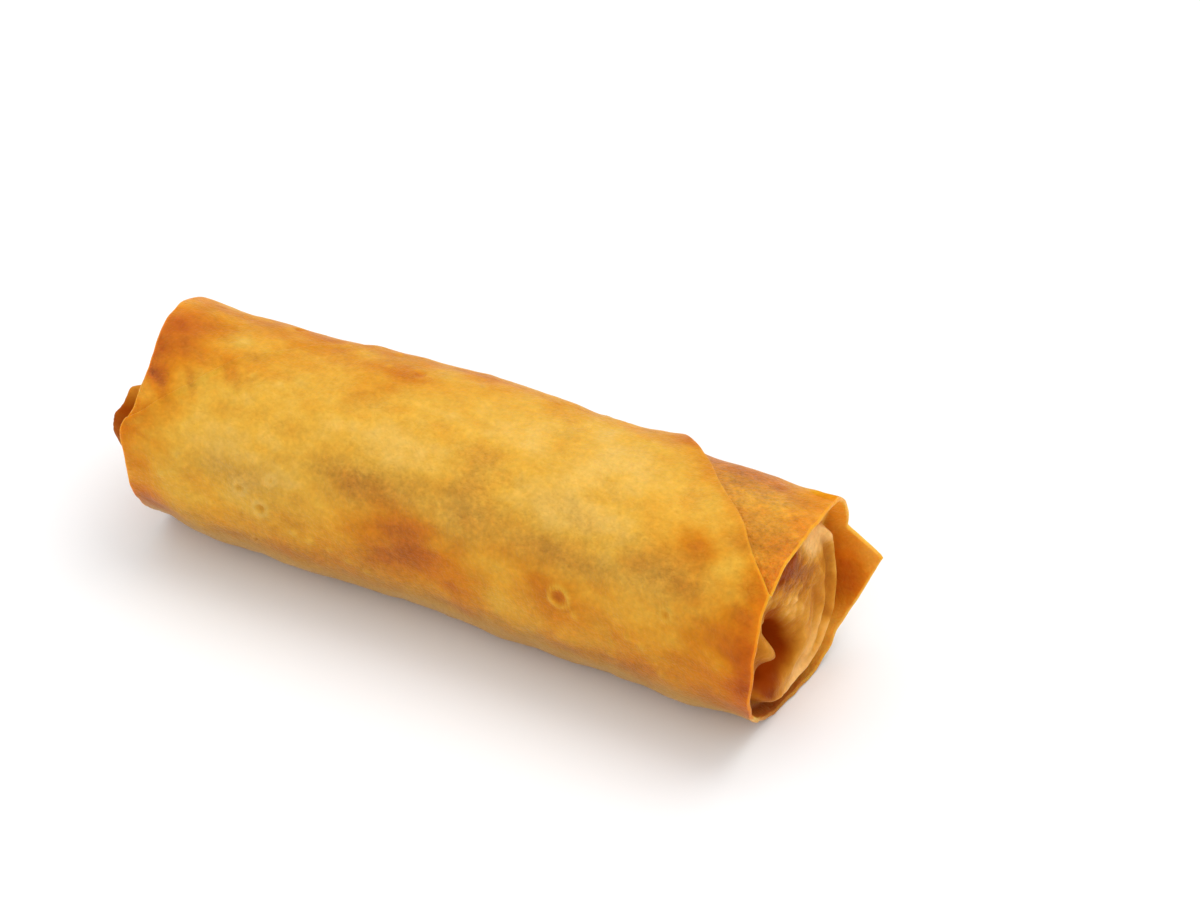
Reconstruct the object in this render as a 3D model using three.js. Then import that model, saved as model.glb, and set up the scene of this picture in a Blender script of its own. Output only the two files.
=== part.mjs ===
// A fried spring roll: one sheet of pastry with both sides folded in, rolled up and closed by a
// pointed flap. Millimetres, +X along the roll, +Z up, lying on z = 0 on a pressed flat foot.
//
// The skin is one closed surface. It is described in polar form about the roll's axis: an angle
// (0 faces -Y, 90 is up), a radius, and a place along X. Its columns run along the roll and are
// counted back from the flap's free edge. Its rings go from the middle of one folded end, out over
// the pastry tucked in there, into the groove behind the rim, over the rim, along the outside of
// the roll, and back in to the middle of the other end.

import * as THREE from 'three';

const roll = {
  halfLength: 51.2, // middle to rim
  leftRadius: 16.25,
  rightRadius: 16.5,
  squareness: 2.18, // 2 is a round section, more is squarer
  axisHeight: 15.9, // less than the radius, so the underside is pressed flat
  bow: 1.8, // the ends lie this far nearer -Y than the middle
};

const sheet = {
  thickness: 0.75, // one layer of fried pastry
  fusedThickness: 0.06, // step that is left where the flap has fused down, at the left rim
};

// The flap's free edge is two slanting lines that meet in a point behind the roll.
const flap = {
  leftAngle: 33, // where the edge leaves the left rim
  leftTurn: 3.3, // degrees gained for each mm away from that rim
  rightAngle: 49.5,
  rightTurn: 3.43,
  pointRound: 6, // degrees over which the two lines blend
  waviness: 1.1, // degrees that the edge wanders to either side
  wavesPerMm: 0.62, // radians
  wavesFade: 8, // mm from the rims over which it stops wandering
  curl: [ // places where the edge lifts off the turn below
    { x: 28, spread: 4.5, lift: 0.65 },
    { x: 38, spread: 3, lift: 0.2 },
    { x: 8, spread: 9, lift: 0.25 },
    { x: -51, spread: 4, lift: 0.5 },
  ],
  curlBack: 2.6, // mm behind the edge over which the lift dies out
};

// Broad swells and hollows of the filling under the skin.
const swells = [
  { x: -4, angle: 122, alongX: 12, alongAngle: 34, height: 0.4 },
  { x: 27, angle: 130, alongX: 5, alongAngle: 14, height: 0.4 },
  { x: -50, angle: 100, alongX: 7, alongAngle: 24, height: 1.0 },
  { x: -50, angle: 56, alongX: 9, alongAngle: 18, height: -1.0 },
  { x: -50, angle: -46, alongX: 7, alongAngle: 30, height: -1.5 },
  { x: -23, angle: -38, alongX: 11, alongAngle: 30, height: 0.5 },
  { x: 6, angle: -40, alongX: 8, alongAngle: 26, height: 0.4 },
  { x: 50, angle: 120, alongX: 6, alongAngle: 30, height: 0.45 },
  { x: 50, angle: -48, alongX: 8, alongAngle: 30, height: -1.3 },
  { x: -6, angle: 215, alongX: 18, alongAngle: 36, height: 0.3 },
  { x: 34, angle: 230, alongX: 12, alongAngle: 30, height: -0.3 },
  { x: -36, angle: 180, alongX: 9, alongAngle: 30, height: 0.3 },
];

// Slight unevenness all over: waves per mm along the roll, in radians, and waves in one turn.
const ripples = { height: 0.12, alongX: 0.23, around: 3 };
const twist = { height: 0.09, alongX: 0.41, around: 2 };

// Each end: the rim where the outer turns stop, the groove inside it, and the folded face.
// Folds are flat-topped swells and hollows of the face. Laps are ridges and furrows of the rolled
// layers, each along an arc about (y, z) whose radius may change; inside and outside are the widths
// of its two flanks.
const rightEnd = {
  side: 1,
  rimWaves: [
    { angle: 105, spread: 45, reach: 1.5 },
    { angle: 15, spread: 30, reach: 0.7 },
    { angle: -62, spread: 26, reach: -1.5 },
    { angle: 222, spread: 24, reach: 1.0 },
  ],
  ear: { angle: 182, before: 18, after: 42, reach: 5.2, flare: 1.4 },
  grooveDepth: 4.6,
  grooveWidth: 0.6,
  grooveWider: [{ angle: 130, spread: 38, width: 2.0 }],
  grooveFilled: [ // share of the depth
    { angle: 232, spread: 42, share: 0.6 },
    { angle: 146, spread: 26, share: 0.35 },
    { angle: 296, spread: 30, share: 0.5 },
  ],
  faceRecess: 1.2, // middle of the folded face behind the rim
  faceRings: 25,
  edgeRound: 2.0,
  folds: [
    { name: 'lower back', y: 7.0, z: -6.0, wide: 8.0, wideAcross: 9.0, turn: -20, height: 1.1 },
    { name: 'upper lobe', y: 1.5, z: 8.0, wide: 8.0, wideAcross: 4.6, turn: -30, height: 0.9 },
    { name: 'pocket', y: -4.6, z: -1.9, wide: 5.2, wideAcross: 1.9, turn: -52, height: -4.4 },
    { name: 'flank', y: -6.0, z: 3.4, wide: 5.6, wideAcross: 1.6, turn: -50, height: -0.9 },
    { name: 'pocket end', y: -8.6, z: 1.0, wide: 4.2, wideAcross: 2.6, turn: -52, height: -0.9 },
    { name: 'small lobe', y: -8.4, z: -0.5, wide: 4.6, wideAcross: 1.7, turn: -52, height: 1.7 },
    { name: 'shoulder', y: -10.4, z: 1.6, wide: 2.8, wideAcross: 1.8, turn: -52, height: 1.8 },
    { name: 'hollow', y: -5.4, z: -6.0, wide: 4.6, wideAcross: 1.7, turn: -38, height: -1.3 },
    { name: 'hollow end', y: -9.0, z: -4.4, wide: 3.6, wideAcross: 2.4, turn: 0, height: -1.7 },
  ],
  laps: [
    {
      name: 'pocket lip', y: -3.4, z: -3.8, from: 110, to: 326,
      startRadius: 5.0, endRadius: 5.6, outside: 2.6, inside: 1.1, height: 0.8,
    },
    {
      name: 'outer layer', y: 0, z: 0, from: 112, to: 345,
      startRadius: 12.9, endRadius: 12.9, outside: 1.0, inside: 0.8, height: 0.8,
    },
  ],
};

const leftEnd = {
  side: -1,
  rimWaves: [
    { angle: 24, spread: 9, reach: 1.0 },
    { angle: 48, spread: 34, reach: -1.0 },
    { angle: 108, spread: 34, reach: 0.7 },
    { angle: -30, spread: 50, reach: -1.3 },
    { angle: 200, spread: 40, reach: 0.5 },
  ],
  ear: { angle: 250, before: 30, after: 30, reach: 0, flare: 0 },
  grooveDepth: 4.2,
  grooveWidth: 0.7,
  grooveWider: [
    { angle: 36, spread: 12, width: 1.0 },
    { angle: 110, spread: 30, width: 1.4 },
  ],
  grooveFilled: [{ angle: 262, spread: 50, share: 0.5 }],
  faceRecess: 1.6,
  faceRings: 15,
  edgeRound: 2.2,
  folds: [
    { name: 'corner foot', y: -6.4, z: 2.0, wide: 3.6, wideAcross: 6.0, turn: 12, height: 1.6 },
    { name: 'cross fold', y: 2.0, z: 5.5, wide: 8.0, wideAcross: 3.2, turn: 18, height: 1.0 },
    { name: 'pocket', y: 3.0, z: -1.0, wide: 4.8, wideAcross: 2.4, turn: 20, height: -3.4 },
    { name: 'small lobe', y: 6.4, z: 1.6, wide: 1.8, wideAcross: 1.3, turn: 30, height: 2.2 },
    { name: 'corner end', y: -11.0, z: -0.6, wide: 3.0, wideAcross: 3.0, turn: 0, height: -1.4 },
    { name: 'corner pit', y: -11.2, z: 8.6, wide: 1.5, wideAcross: 1.5, turn: 0, height: -1.8 },
  ],
  laps: [
    {
      name: 'tucked corner', y: 0, z: 0, from: -8, to: 59,
      startRadius: 11.0, endRadius: 13.6, outside: 0.8, inside: 1.3, height: 4.8,
    },
    {
      name: 'pocket lip', y: 2.0, z: -0.5, from: 170, to: 385,
      startRadius: 5.6, endRadius: 6.8, outside: 2.2, inside: 0.8, height: 0.9,
    },
    {
      name: 'furrow', y: 0, z: 0, from: 190, to: 300,
      startRadius: 11.2, endRadius: 11.4, outside: 1.2, inside: 0.6, height: -0.9,
    },
    {
      name: 'outer layer', y: 0, z: 0, from: 120, to: 330,
      startRadius: 13.0, endRadius: 12.8, outside: 0.9, inside: 0.8, height: 0.7,
    },
  ],
};

const foldSquareness = 1.3; // 1 is a bell, more has a flatter top and steeper sides
const lapFade = 0.16; // share of a lap's length over which it rises from nothing

const lapInset = 0.8; // mm inside the pad's edge over which the laps die out
const hemThickness = 1.7 * sheet.thickness; // the rim's wall at the bottom of the groove
const rimBlend = 16; // the rings take up the rim's waves over this length
const earBlend = 5; // and the ear's flare over this one
const earSharpness = 1.15; // 1 gives the ear straight sides, more makes them hollow

// Mesh fineness.
const grid = {
  columns: 70,
  outsideRings: 30,
  wallRings: 2,
  lipRings: 3,
};

const radians = (degrees) => degrees * Math.PI / 180;
const lerp = (a, b, t) => a + (b - a) * t;
const clamp01 = (t) => Math.min(1, Math.max(0, t));
const smooth = (t) => clamp01(t) * clamp01(t) * (3 - 2 * clamp01(t));
const wrapAngle = (angle) => ((angle + 180) % 360 + 360) % 360 - 180;
const bell = (distance, spread) => Math.exp(-((distance / spread) ** 2));
const angleBell = (angle, middle, spread) => bell(wrapAngle(angle - middle), spread);

// Angle of the flap's free edge at a place along the roll.
function flapEdge(x) {
  const left = flap.leftAngle + flap.leftTurn * (x + roll.halfLength);
  const right = flap.rightAngle + flap.rightTurn * (roll.halfLength - x);
  const k = flap.pointRound;
  const blended = -k * Math.log(Math.exp(-left / k) + Math.exp(-right / k));
  const inside = smooth((roll.halfLength - Math.abs(x)) / flap.wavesFade);
  return blended + flap.waviness * Math.sin(x * flap.wavesPerMm) * inside;
}

// How far the flap stands above the turn below it: fused nearly flush at the left, loose at the right.
function flapStep(x) {
  return lerp(sheet.fusedThickness, sheet.thickness, smooth((x + roll.halfLength) / roll.halfLength));
}

// How far the flap's edge lifts off the turn below.
function flapCurl(x) {
  return flap.curl.reduce((sum, c) => sum + c.lift * bell(x - c.x, c.spread), 0);
}

// Radius of the turn under the flap, before the floor presses it.
function turnRadius(x, angle) {
  const t = (x + roll.halfLength) / (2 * roll.halfLength);
  const across = Math.abs(Math.cos(radians(angle))) ** roll.squareness;
  const upright = Math.abs(Math.sin(radians(angle))) ** roll.squareness;
  let radius = lerp(roll.leftRadius, roll.rightRadius, t) / (across + upright) ** (1 / roll.squareness);
  for (const s of swells) {
    radius += s.height * bell(x - s.x, s.alongX) * angleBell(angle, s.angle, s.alongAngle);
  }
  const wave = Math.sin(x * ripples.alongX + 1.1) * Math.sin(radians(angle) * ripples.around + 0.4);
  radius += ripples.height * wave;
  radius += twist.height * Math.sin(x * twist.alongX + radians(angle) * twist.around);
  return radius;
}

// Keeps a point at this angle from going below the floor.
function pressed(radius, angle) {
  const down = -Math.sin(radians(angle));
  return down > 0.2 ? Math.min(radius, roll.axisHeight / down) : radius;
}

// How far a rim stands beyond roll.halfLength at this angle, without its ear.
function rimReach(end, angle) {
  return end.rimWaves.reduce((sum, w) => sum + w.reach * angleBell(angle, w.angle, w.spread), 0);
}

// 0 to 1 over the pointed ear that stands out from a rim.
function earShape(end, angle) {
  const away = wrapAngle(angle - end.ear.angle);
  const spread = away < 0 ? end.ear.before : end.ear.after;
  return clamp01(1 - Math.abs(away) / spread) ** earSharpness;
}

// Distance from the roll's middle to the folded face at (y, z) about the axis, without its laps.
function faceReach(end, y, z) {
  let reach = roll.halfLength - end.faceRecess;
  for (const f of end.folds) {
    const c = Math.cos(radians(f.turn));
    const s = Math.sin(radians(f.turn));
    const along = ((y - f.y) * c + (z - f.z) * s) / f.wide;
    const over = (-(y - f.y) * s + (z - f.z) * c) / f.wideAcross;
    reach += f.height * Math.exp(-((along * along + over * over) ** foldSquareness));
  }
  return reach;
}

// How far the laps add to the reach of the folded face.
function lapReach(end, y, z) {
  let reach = 0;
  for (const lap of end.laps) {
    const angle = Math.atan2(z - lap.z, lap.y - y) * 180 / Math.PI;
    const t = ((angle - lap.from) % 360 + 360) % 360 / (lap.to - lap.from);
    const away = Math.hypot(y - lap.y, z - lap.z) - lerp(lap.startRadius, lap.endRadius, t);
    const ridge = bell(away, away > 0 ? lap.outside : lap.inside);
    reach += lap.height * smooth(t / lapFade) * smooth((1 - t) / lapFade) * ridge;
  }
  return reach;
}

// A ring point by side, distance from the middle, angle and radius.
function place(side, reach, angle, radius) {
  const x = side * reach;
  const y = roll.bow * (0.5 - (reach / roll.halfLength) ** 2) - radius * Math.cos(radians(angle));
  const z = roll.axisHeight + radius * Math.sin(radians(angle));
  return [x, y, Math.max(0, z)];
}

// Columns are even steps of one turn. turned is 0 at the flap's free edge and 1 a whole turn
// further in. Two columns round the cut edge: shift is in mm back along the skin, and raised is
// the share of the flap's step.
const cutEdge = [
  { shift: 0.25, raised: 0.45 },
  { shift: 0.7, raised: 1 },
];
const tuckUnder = 0.1; // mm that the turn below runs on under the flap

function columnList() {
  const list = cutEdge.map((edge) => ({ ...edge, turned: 0 }));
  for (let i = 1; i <= grid.columns; i += 1) {
    list.push({ shift: 0, raised: 1, turned: i / (grid.columns + 1) });
  }
  list.push({ shift: tuckUnder, raised: 1, turned: 1 });
  return list;
}

const columns = columnList();

// Angle of a column. evened is 0 on the outside and 1 where the columns are spread evenly.
function columnAngle(index, x, evened) {
  const column = columns[index];
  const shiftAngle = column.shift * 180 / (Math.PI * roll.rightRadius);
  const follows = flapEdge(x) - 360 * column.turned - shiftAngle;
  const even = flapEdge(x) - 360 * index / columns.length;
  return lerp(follows, even, evened);
}

// Outside radius of a column: the turns climb by one flap step in a whole turn.
function columnRadius(index, x, angle) {
  const column = columns[index];
  const behindEdge = column.shift + column.turned * 2 * Math.PI * roll.rightRadius;
  const lift = flapStep(x) + flapCurl(x) * bell(behindEdge, flap.curlBack);
  return pressed(turnRadius(x, angle) + lift * (1 - column.turned) * column.raised, angle);
}

// Rings of one end, from the middle of its face out to the rim.
function endRings(end) {
  const rings = [];
  const rimX = end.side * roll.halfLength;
  const lipRadius = sheet.thickness / 2;

  const addRing = (evened, point) => {
    rings.push(columns.map((_, index) => point(index, columnAngle(index, rimX, evened))));
  };
  const listed = (list, angle, amount) => list.reduce(
    (sum, item) => sum + item[amount] * angleBell(angle, item.angle, item.spread),
    0,
  );
  const grooveReach = (angle) => roll.halfLength + rimReach(end, angle)
    - end.grooveDepth * (1 - listed(end.grooveFilled, angle, 'share'));
  const edgeReach = (angle) => roll.halfLength + rimReach(end, angle)
    + end.ear.reach * earShape(end, angle) - lipRadius;
  const padRadius = (angle) => pressed(turnRadius(rimX, angle), angle) - hemThickness
    - end.grooveWidth - listed(end.grooveWider, angle, 'width');

  // The tucked pastry, a pad with a rounded edge that drops into the groove.
  for (let k = 1; k <= end.faceRings; k += 1) {
    const outward = Math.sin((k / end.faceRings) * Math.PI / 2);
    addRing(1, (index, angle) => {
      const pad = padRadius(angle);
      const radius = pad * outward;
      const y = -radius * Math.cos(radians(angle));
      const z = radius * Math.sin(radians(angle));
      const rounding = 1 - clamp01((pad - radius) / end.edgeRound);
      const face = lerp(grooveReach(angle), faceReach(end, y, z), Math.sqrt(1 - rounding ** 2));
      const lap = lapReach(end, y, z) * smooth((pad - radius) / lapInset);
      return place(end.side, face + lap, angle, radius);
    });
  }

  // Groove floor and the inside of the rim.
  for (let k = 0; k <= grid.wallRings; k += 1) {
    const t = k / grid.wallRings;
    addRing(1 - 0.5 * t, (index, angle) => {
      const wall = lerp(hemThickness, sheet.thickness, t);
      const flare = end.ear.flare * earShape(end, angle) * t;
      const radius = columnRadius(index, rimX, angle) - wall + flare;
      return place(end.side, lerp(grooveReach(angle), edgeReach(angle), t), angle, radius);
    });
  }

  // The rounded rim, half a circle across the sheet.
  for (let k = 1; k <= grid.lipRings; k += 1) {
    const t = k / (grid.lipRings + 1);
    addRing(0.5 * (1 - t), (index, angle) => {
      const outer = columnRadius(index, rimX, angle) + end.ear.flare * earShape(end, angle);
      const radius = outer - lipRadius * (1 + Math.cos(Math.PI * t));
      return place(end.side, edgeReach(angle) + lipRadius * Math.sin(Math.PI * t), angle, radius);
    });
  }
  return rings;
}

// Rings along the outside, left rim to right rim.
function outsideRings() {
  const rings = [];
  const last = grid.outsideRings - 1;
  for (let k = 0; k <= last; k += 1) {
    const x = lerp(-roll.halfLength, roll.halfLength, k / last);
    const end = x < 0 ? leftEnd : rightEnd;
    const inward = roll.halfLength - Math.abs(x);
    const nearRim = smooth(1 - inward / rimBlend);
    const nearEar = smooth(1 - inward / earBlend);
    rings.push(columns.map((_, index) => {
      const angle = columnAngle(index, x, 0);
      const ear = earShape(end, angle);
      const out = rimReach(end, angle) + end.ear.reach * ear - sheet.thickness / 2;
      const radius = columnRadius(index, x, angle) + end.ear.flare * ear * nearEar;
      return place(end.side, Math.abs(x) + out * nearRim, angle, radius);
    }));
  }
  return rings;
}

function buildSkin() {
  const left = endRings(leftEnd);
  const right = endRings(rightEnd).reverse();
  const rings = [...left, ...outsideRings(), ...right];
  const points = rings.flat();
  const n = columns.length;
  const faces = [];

  // Each cell is split along its shorter diagonal, which follows the slant of the flap.
  const away = (a, b) => Math.hypot(...points[a].map((v, axis) => v - points[b][axis]));
  for (let r = 0; r + 1 < rings.length; r += 1) {
    for (let i = 0; i < n; i += 1) {
      const a = r * n + i;
      const b = r * n + (i + 1) % n;
      const c = a + n;
      const d = b + n;
      if (away(a, d) < away(b, c)) {
        faces.push(a, b, d, a, d, c);
      } else {
        faces.push(a, b, c, b, d, c);
      }
    }
  }

  // One point closes the middle of each face.
  const middle = (end) => place(end.side, faceReach(end, 0, 0) + lapReach(end, 0, 0), 0, 0);
  const leftPole = points.push(middle(leftEnd)) - 1;
  const rightPole = points.push(middle(rightEnd)) - 1;
  const lastRing = (rings.length - 1) * n;
  for (let i = 0; i < n; i += 1) {
    const next = (i + 1) % n;
    faces.push(leftPole, next, i);
    faces.push(rightPole, lastRing + i, lastRing + next);
  }

  const geometry = new THREE.BufferGeometry();
  geometry.setAttribute('position', new THREE.Float32BufferAttribute(points.flat(), 3));
  geometry.setIndex(faces);
  geometry.computeBoundingBox();
  const box = geometry.boundingBox;
  geometry.translate(-(box.min.x + box.max.x) / 2, -(box.min.y + box.max.y) / 2, -box.min.z);
  geometry.computeVertexNormals();
  return geometry;
}

const springRoll = new THREE.Mesh(
  buildSkin(),
  new THREE.MeshStandardMaterial({ color: 0xd9942f, roughness: 0.5, metalness: 0 }),
);
springRoll.name = 'spring_roll';

const group = new THREE.Group();
group.add(springRoll);

export default group;
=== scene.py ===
# A fried spring roll on a pale table: one rolled and folded pastry skin, modelled as a fine mesh
# over its CAD solid. Lengths are in millimetres until the mesh is made, which is in metres.
import math

import bpy
import numpy as np
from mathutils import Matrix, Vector


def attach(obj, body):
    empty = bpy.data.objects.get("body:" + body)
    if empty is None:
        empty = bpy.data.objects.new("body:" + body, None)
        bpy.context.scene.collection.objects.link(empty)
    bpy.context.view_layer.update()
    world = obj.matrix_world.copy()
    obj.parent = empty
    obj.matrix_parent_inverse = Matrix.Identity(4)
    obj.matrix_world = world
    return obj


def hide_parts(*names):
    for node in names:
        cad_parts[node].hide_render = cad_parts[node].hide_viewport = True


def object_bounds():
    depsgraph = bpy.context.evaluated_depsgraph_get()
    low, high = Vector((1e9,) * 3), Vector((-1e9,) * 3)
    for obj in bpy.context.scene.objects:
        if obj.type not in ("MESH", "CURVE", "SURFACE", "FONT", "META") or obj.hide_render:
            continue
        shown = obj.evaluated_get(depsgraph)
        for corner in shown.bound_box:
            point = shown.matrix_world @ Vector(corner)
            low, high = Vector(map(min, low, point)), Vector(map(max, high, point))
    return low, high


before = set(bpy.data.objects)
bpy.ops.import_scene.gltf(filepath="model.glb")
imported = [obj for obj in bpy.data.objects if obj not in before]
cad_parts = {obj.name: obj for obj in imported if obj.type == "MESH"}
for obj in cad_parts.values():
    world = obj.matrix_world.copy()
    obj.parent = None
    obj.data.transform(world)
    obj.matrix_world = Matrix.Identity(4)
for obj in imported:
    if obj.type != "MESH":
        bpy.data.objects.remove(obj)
cadLow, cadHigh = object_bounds()

mm = 0.001

# The form. Places on the skin are x along the roll and an angle round it: 0 faces -Y, 90 is up.
roll = {
    "halfLength": 51.2,  # middle to rim
    "leftRadius": 16.25,
    "rightRadius": 16.5,
    "squareness": 2.18,  # 2 is a round section
    "axisHeight": 15.9,  # less than the radius, so the underside is pressed flat
    "bow": 1.8,  # how far the middle stands back from the ends
    # Broad swells and hollows of the filling: x, angle, spread in x, spread in angle, height
    "swells": [
        (-4, 122, 12, 34, 0.4), (27, 130, 5, 14, 0.4), (-50, 100, 7, 24, 1.0), (-50, 56, 9, 18, -1.0),
        (-50, -46, 7, 30, -1.5), (-23, -38, 11, 30, 0.5), (6, -40, 8, 26, 0.4), (50, 120, 6, 30, 0.45),
        (50, -48, 8, 30, -1.3), (-6, 215, 18, 36, 0.3), (34, 230, 12, 30, -0.3), (-36, 180, 9, 30, 0.3),
    ],
    # Low ripples: height, radians a mm along the roll, waves round it
    "standingRipple": (0.12, 0.23, 3),
    "slantingRipple": (0.09, 0.41, 2),
    "ripplePhase": (1.1, 0.4),  # where the standing ones start, along and round
    "rimUneven": [(5.0, 0.22), (1.9, 0.12)],  # mm along the rim, mm in and out
    "reachFades": 16,  # mm from the rim over which its waves and the ear die out
    "flareFades": 5,
    "earPoint": 1.15,  # 1 has straight sides, more is slimmer
    "foldSquareness": 1.3,  # 1 is a bell, more has a flatter top and steeper sides
    "lapFades": 0.16,  # share of a lap's length over which it rises from nothing
    "lapEdge": 0.8,  # mm over which the laps die out at the edge of the face
    "sheet": {
        "thickness": 0.75,
        "fused": 0.06,  # the flap's step where it has fused down, at the left rim
        "hem": 1.28,  # the rim's wall at the bottom of the groove
    },
    "flap": {
        "leftAngle": 33, "leftTurn": 3.3,  # the free edge leaves the rim here, and its degrees a mm
        "rightAngle": 49.5, "rightTurn": 3.43,
        "pointRound": 6,
        "wave": (1.1, 0.62),  # degrees, radians a mm
        "ragged": [(1.7, 0.7), (0.8, 0.42)],  # where the sheet was cut: mm along, degrees
        "unevenFades": 8,  # mm from the rim over which wave and rags die out
        "curl": [(28, 4.5, 0.65), (38, 3.0, 0.2), (8, 9, 0.25), (-51, 4, 0.5)],  # x, spread, lift
        "curlBack": 2.6,  # the lift has died out so far behind the edge
    },
    "rightEnd": {
        "side": 1,
        "rimWaves": [(105, 45, 1.5), (15, 30, 0.7), (-62, 26, -1.5), (222, 24, 1.0)],  # angle, spread, reach
        "ear": {"angle": 182, "before": 18, "after": 42, "reach": 5.2, "flare": 1.4},
        "grooveDepth": 4.6, "grooveWidth": 0.6,
        "grooveWider": [(130, 38, 2.0)],  # angle, spread, width
        "grooveFilled": [(232, 42, 0.6), (146, 26, 0.35), (296, 30, 0.5)],  # angle, spread, share of depth
        "faceRecess": 1.2,
        "edgeRound": 2.0,
        # Swells and hollows of the folded face: y, z, width, width across, turn, height
        "folds": [
            (7.0, -6.0, 8.0, 9.0, -20, 1.1),  # lower back, pushed out
            (1.5, 8.0, 8.0, 4.6, -30, 0.9),  # upper lobe
            (-4.6, -1.9, 5.2, 1.9, -52, -4.4),  # pocket, a slot that slants down to the back
            (-6.0, 3.4, 5.6, 1.6, -50, -0.9),  # flank above it
            (-8.6, 1.0, 4.2, 2.6, -52, -0.9),  # its upper end, running out under the rim
            (-8.4, -0.5, 4.6, 1.7, -52, 1.7),  # small lobe in the pocket
            (-10.4, 1.6, 2.8, 1.8, -52, 1.8),  # its shoulder
            (-5.4, -6.0, 4.6, 1.7, -38, -1.3),  # hollow below the lobe
            (-9.0, -4.4, 3.6, 2.4, 0, -1.7),  # and out to the rim
            (-8.3, -5.2, 1.0, 0.8, -30, -1.2),  # dimple in the hollow
        ],
        # Lips and creases of the rolled layers: centre y, z, angles, radii, widths out and in, height
        "laps": [
            (-3.4, -3.8, 110, 326, 5.0, 5.6, 2.6, 1.1, 0.8),  # lip round the pocket
            (-3.0, -4.0, 140, 250, 10.6, 7.6, 0.7, 1.4, -0.5),  # long crease of the layer outside it
            (-3.0, -4.0, 130, 235, 13.4, 9.4, 0.7, 0.7, 0.3),
            (0, 0, 112, 345, 12.9, 12.9, 1.0, 0.8, 0.8),  # outer layer
            (0, 0, 135, 235, 11.3, 10.9, 0.7, 0.8, -0.4),  # furrow along it
        ],
    },
    "leftEnd": {
        "side": -1,
        "rimWaves": [(24, 9, 1.0), (48, 34, -1.0), (108, 34, 0.7), (-30, 50, -1.3), (200, 40, 0.5)],
        "ear": {"angle": 250, "before": 30, "after": 30, "reach": 0, "flare": 0},  # none here
        "grooveDepth": 4.2, "grooveWidth": 0.7,
        "grooveWider": [(36, 12, 1.0), (110, 30, 1.4)],
        "grooveFilled": [(262, 50, 0.5)],
        "faceRecess": 1.6,
        "edgeRound": 2.2,
        "folds": [
            (-6.4, 2.0, 3.6, 6.0, 12, 1.6),  # foot of the tucked corner
            (2.0, 5.5, 8.0, 3.2, 18, 1.0),  # cross fold
            (3.0, -1.0, 4.8, 2.4, 20, -3.4),  # pocket
            (6.4, 1.6, 1.8, 1.3, 30, 2.2),  # small lobe in the pocket
            (-11.0, -0.6, 3.0, 3.0, 0, -1.4),  # the corner gets lower downwards
            (-11.2, 8.6, 1.5, 1.5, 0, -1.8),  # pit in the corner
        ],
        "laps": [
            (0, 0, -8, 59, 11.0, 13.6, 0.8, 1.3, 4.8),  # tucked corner, curled outwards
            (2.0, -0.5, 170, 385, 5.6, 6.8, 2.2, 0.8, 0.9),
            (0, 0, 190, 300, 11.2, 11.4, 1.2, 0.6, -0.9),
            (0, 0, 120, 330, 13.0, 12.8, 0.9, 0.8, 0.7),
        ],
    },
}
sheet, flap, rightEnd, leftEnd = (roll[name] for name in ("sheet", "flap", "rightEnd", "leftEnd"))

# Points of the mesh: columns round the roll, and rings along it and over each band of an end
grid = {
    "columns": 252, "outside": 248, "face": 48, "wall": 8, "lip": 6,
    # Closer columns over the flap's cut edge: mm back from it, share of the sheet's step
    "cutEdge": [(1.3, 0.06), (0.5, 0.2), (0.1, 0.34), (0, 0.6), (0.07, 0.84), (0.26, 0.97), (0.6, 1)],
    "evenFrom": 0.9,  # mm back from the edge, where the other columns start
    "tuckUnder": 1.4,  # mm that the turn below runs on under the flap
}

# Seeds of the random draw and of each pattern of the noise
seeds = {"cutEdge": 3, "skin": 5, "blisters": 8, "puckers": 9, "face": 12, "streaks": 15, "faceCreases": 18,
         "rim": 20, "filling": 31, "skinToast": 32, "faceToast": 33, "speckle": 34}


def smooth(t):
    t = np.clip(t, 0, 1)
    return t * t * (3 - 2 * t)


def rise(value, start, end):  # 0 at the start, 1 at the end, level outside them
    return smooth((value - start) / (end - start))


def lerp(a, b, t):
    return a + (b - a) * t


def turnFrom(angle, middle):  # signed degrees away from the middle
    return (angle - middle + 180) % 360 - 180


def bell(distance, spread):
    return np.exp(-((distance / spread) ** 2))


def bellsRound(rows, angle):  # sum of bells round the roll: angle, spread, height
    return sum(height * bell(turnFrom(angle, at), spread) for at, spread, height in rows)


def bellsOver(rows, x, angle):  # and over the skin: x, angle, spread in x, spread in angle, height
    return sum(height * bell(x - atX, wideX) * bell(turnFrom(angle, at), wideAngle)
               for atX, at, wideX, wideAngle, height in rows)


def hashNoise(points, size, seed):  # smooth noise from -1 to 1 at points, in cells of this many mm
    cell = points / size + seed * 17.13
    base = np.floor(cell)
    part = cell - base
    part = part * part * (3 - 2 * part)
    total = 0
    for cx in (0, 1):
        for cy in (0, 1):
            for cz in (0, 1):
                corner = base + (cx, cy, cz)
                mixed = np.sin(corner @ (127.1, 311.7, 74.7)) * 43758.5453  # the usual sine hash
                share = (np.abs(1 - cx - part[..., 0]) * np.abs(1 - cy - part[..., 1])
                         * np.abs(1 - cz - part[..., 2]))
                total = total + share * (mixed - np.floor(mixed))
    return total * 2 - 1


def wander(x, size, seed):  # the same noise along one line
    x = np.asarray(x, float)
    return hashNoise(np.stack([x, 0 * x, 0 * x], -1), size, seed)


def onCylinder(x, angle):
    a = np.radians(angle)
    return np.stack([x + 0 * a, -roll["rightRadius"] * np.cos(a), roll["rightRadius"] * np.sin(a)], -1)


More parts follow.
